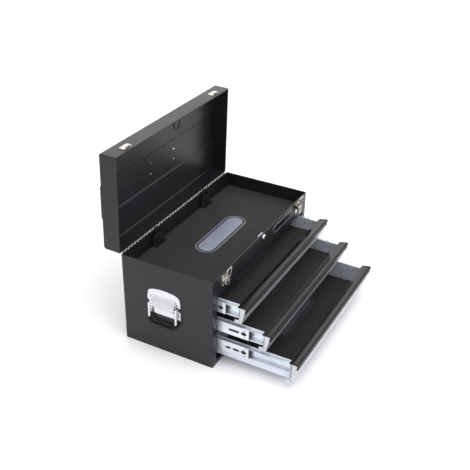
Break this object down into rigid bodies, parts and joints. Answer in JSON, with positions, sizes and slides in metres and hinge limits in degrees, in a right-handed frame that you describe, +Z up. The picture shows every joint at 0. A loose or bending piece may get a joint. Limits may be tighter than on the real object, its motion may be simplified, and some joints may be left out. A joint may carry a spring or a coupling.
{
  "type": "metal tool box",
  "caption": "Portable sheet-steel tool chest with lidded top tray, ball-bearing drawers, carrying handles, draw latches and key lock.",
  "frame": {"origin": "middle of the cabinet's underside, where it stands on the bench", "axes": "+Z up, -Y towards the drawer fronts, +X to the chest's right"},
  "size_m": [0.5346, 0.5202, 0.4931],
  "materials": {
    "body_paint": "satin powder coat, charcoal",
    "mat_foam": "matte fine-celled foam",
    "zinc_sheet": "bright zinc plate",
    "bright_chrome": "bright nickel-chrome plate",
    "black_plastic": "satin black moulding",
    "black_wire": "black oxide"
  },
  "bodies": {
    "cabinet": {"left_side_panel": "body_paint", "right_side_panel": "body_paint", "back_panel": "body_paint", "bottom_panel": "body_paint", "front_fascia": "body_paint", "tray_floor": "body_paint", "tray_mat": "mat_foam", "slide_uprights": "body_paint", "cabinet_slides": "zinc_sheet", "hinge_body_leaf": "zinc_sheet", "hinge_pin": "zinc_sheet", "rod_guides": "body_paint", "lock_barrel": "bright_chrome", "lock_nut": "zinc_sheet", "latch_bases": "zinc_sheet", "side_handle_plates": "bright_chrome", "side_handle_rivets": "bright_chrome"},
    "lid": {"lid_shell": "body_paint", "hinge_lid_leaf": "zinc_sheet", "lid_catches": "zinc_sheet", "lid_strike": "black_wire", "top_handle_saddles": "bright_chrome", "top_handle_rivets": "bright_chrome"},
    "top_handle": {"top_handle_bail": "bright_chrome", "top_handle_grip": "black_plastic"},
    "lock": {"lock_plug": "bright_chrome", "lock_cam": "zinc_sheet"},
    "drawer_1": {"drawer_pan_1": "zinc_sheet", "drawer_front_1": "zinc_sheet", "drawer_grip_1": "black_plastic", "drawer_mat_1": "mat_foam", "drawer_slides_1": "zinc_sheet"},
    "slide_rails_1": {"middle_slides_1": "zinc_sheet", "slide_bumpers_1": "black_plastic"},
    "drawer_2": {"drawer_pan_2": "zinc_sheet", "drawer_front_2": "zinc_sheet", "drawer_grip_2": "black_plastic", "drawer_mat_2": "mat_foam", "drawer_slides_2": "zinc_sheet"},
    "slide_rails_2": {"middle_slides_2": "zinc_sheet", "slide_bumpers_2": "black_plastic"},
    "drawer_3": {"drawer_pan_3": "zinc_sheet", "drawer_front_3": "zinc_sheet", "drawer_grip_3": "black_plastic", "drawer_mat_3": "mat_foam", "drawer_slides_3": "zinc_sheet"},
    "slide_rails_3": {"middle_slides_3": "zinc_sheet", "slide_bumpers_3": "black_plastic"},
    "latch_lever_left": {"latch_lever_left": "zinc_sheet"},
    "latch_loop_left": {"latch_loop_left": "zinc_sheet"},
    "side_handle_left": {"side_bail_left": "bright_chrome", "side_grip_left": "black_plastic"},
    "lock_rod_left": {"lock_rod_left": "body_paint"},
    "latch_lever_right": {"latch_lever_right": "zinc_sheet"},
    "latch_loop_right": {"latch_loop_right": "zinc_sheet"},
    "side_handle_right": {"side_bail_right": "bright_chrome", "side_grip_right": "black_plastic"},
    "lock_rod_right": {"lock_rod_right": "body_paint"}
  },
  "joints": [
    {"name": "lid_hinge", "type": "hinge", "parent": "cabinet", "child": "lid", "pos_m": [0, 0.1246, 0.2387], "axis": [-1, 0, 0], "range_deg": [-88.6, 0]},
    {"name": "top_handle_pivot", "type": "hinge", "parent": "lid", "child": "top_handle", "pos_m": [0, 0.17951, 0.36598], "axis": [1, 0, 0], "range_deg": [0, 180]},
    {"name": "lock_turn", "type": "hinge", "parent": "cabinet", "child": "lock", "pos_m": [0, -0.118, 0.229], "axis": [0, 1, 0], "range_deg": [0, 90]},
    {"name": "drawer_1_slide", "type": "slide", "parent": "cabinet", "child": "drawer_1", "axis": [0, -1, 0], "range_m": [-0.0752, 0.1398]},
    {"name": "slide_rails_1_travel", "type": "slide", "parent": "cabinet", "child": "slide_rails_1", "axis": [0, -1, 0], "range_m": [-0.0463, 0.08639]},
    {"name": "drawer_2_slide", "type": "slide", "parent": "cabinet", "child": "drawer_2", "axis": [0, -1, 0], "range_m": [-0.1385, 0.0765]},
    {"name": "slide_rails_2_travel", "type": "slide", "parent": "cabinet", "child": "slide_rails_2", "axis": [0, -1, 0], "range_m": [-0.1073, 0.05971]},
    {"name": "drawer_3_slide", "type": "slide", "parent": "cabinet", "child": "drawer_3", "axis": [0, -1, 0], "range_m": [-0.2086, 0.0064]},
    {"name": "slide_rails_3_travel", "type": "slide", "parent": "cabinet", "child": "slide_rails_3", "axis": [0, -1, 0], "range_m": [-0.1079, 0.00381]},
    {"name": "latch_lever_left_pivot", "type": "hinge", "parent": "cabinet", "child": "latch_lever_left", "pos_m": [-0.197, -0.1282, 0.224], "axis": [-1, 0, 0], "range_deg": [0, 150]},
    {"name": "latch_loop_left_pivot", "type": "hinge", "parent": "latch_lever_left", "child": "latch_loop_left", "pos_m": [-0.197, -0.1285, 0.2135], "axis": [-1, 0, 0], "range_deg": [-150, 0]},
    {"name": "side_handle_left_pivot", "type": "hinge", "parent": "cabinet", "child": "side_handle_left", "pos_m": [-0.2625, 0.0082, 0.135], "axis": [0, 1, 0], "range_deg": [0, 90]},
    {"name": "lock_rod_left_travel", "type": "slide", "parent": "cabinet", "child": "lock_rod_left", "axis": [0, 0, 1], "range_m": [-0.0061, 0]},
    {"name": "latch_lever_right_pivot", "type": "hinge", "parent": "cabinet", "child": "latch_lever_right", "pos_m": [0.197, -0.1282, 0.224], "axis": [-1, 0, 0], "range_deg": [0, 150]},
    {"name": "latch_loop_right_pivot", "type": "hinge", "parent": "latch_lever_right", "child": "latch_loop_right", "pos_m": [0.197, -0.1285, 0.2135], "axis": [-1, 0, 0], "range_deg": [-150, 0]},
    {"name": "side_handle_right_pivot", "type": "hinge", "parent": "cabinet", "child": "side_handle_right", "pos_m": [0.2625, 0.0082, 0.135], "axis": [0, -1, 0], "range_deg": [0, 90]},
    {"name": "lock_rod_right_travel", "type": "slide", "parent": "cabinet", "child": "lock_rod_right", "axis": [0, 0, 1], "range_m": [-0.0061, 0]}
  ],
  "couplings": [
    {"joint": "slide_rails_1_travel", "follows": "drawer_1_slide", "ratio": 0.61436},
    {"joint": "slide_rails_2_travel", "follows": "drawer_2_slide", "ratio": 0.77401},
    {"joint": "slide_rails_3_travel", "follows": "drawer_3_slide", "ratio": 0.51678},
    {"joint": "latch_loop_left_pivot", "follows": "latch_lever_left_pivot", "ratio": -1},
    {"joint": "lock_rod_left_travel", "follows": "lid_hinge", "m_per_rad": 0.0038801},
    {"joint": "latch_loop_right_pivot", "follows": "latch_lever_right_pivot", "ratio": -1},
    {"joint": "lock_rod_right_travel", "follows": "lid_hinge", "m_per_rad": 0.0038801}
  ]
}
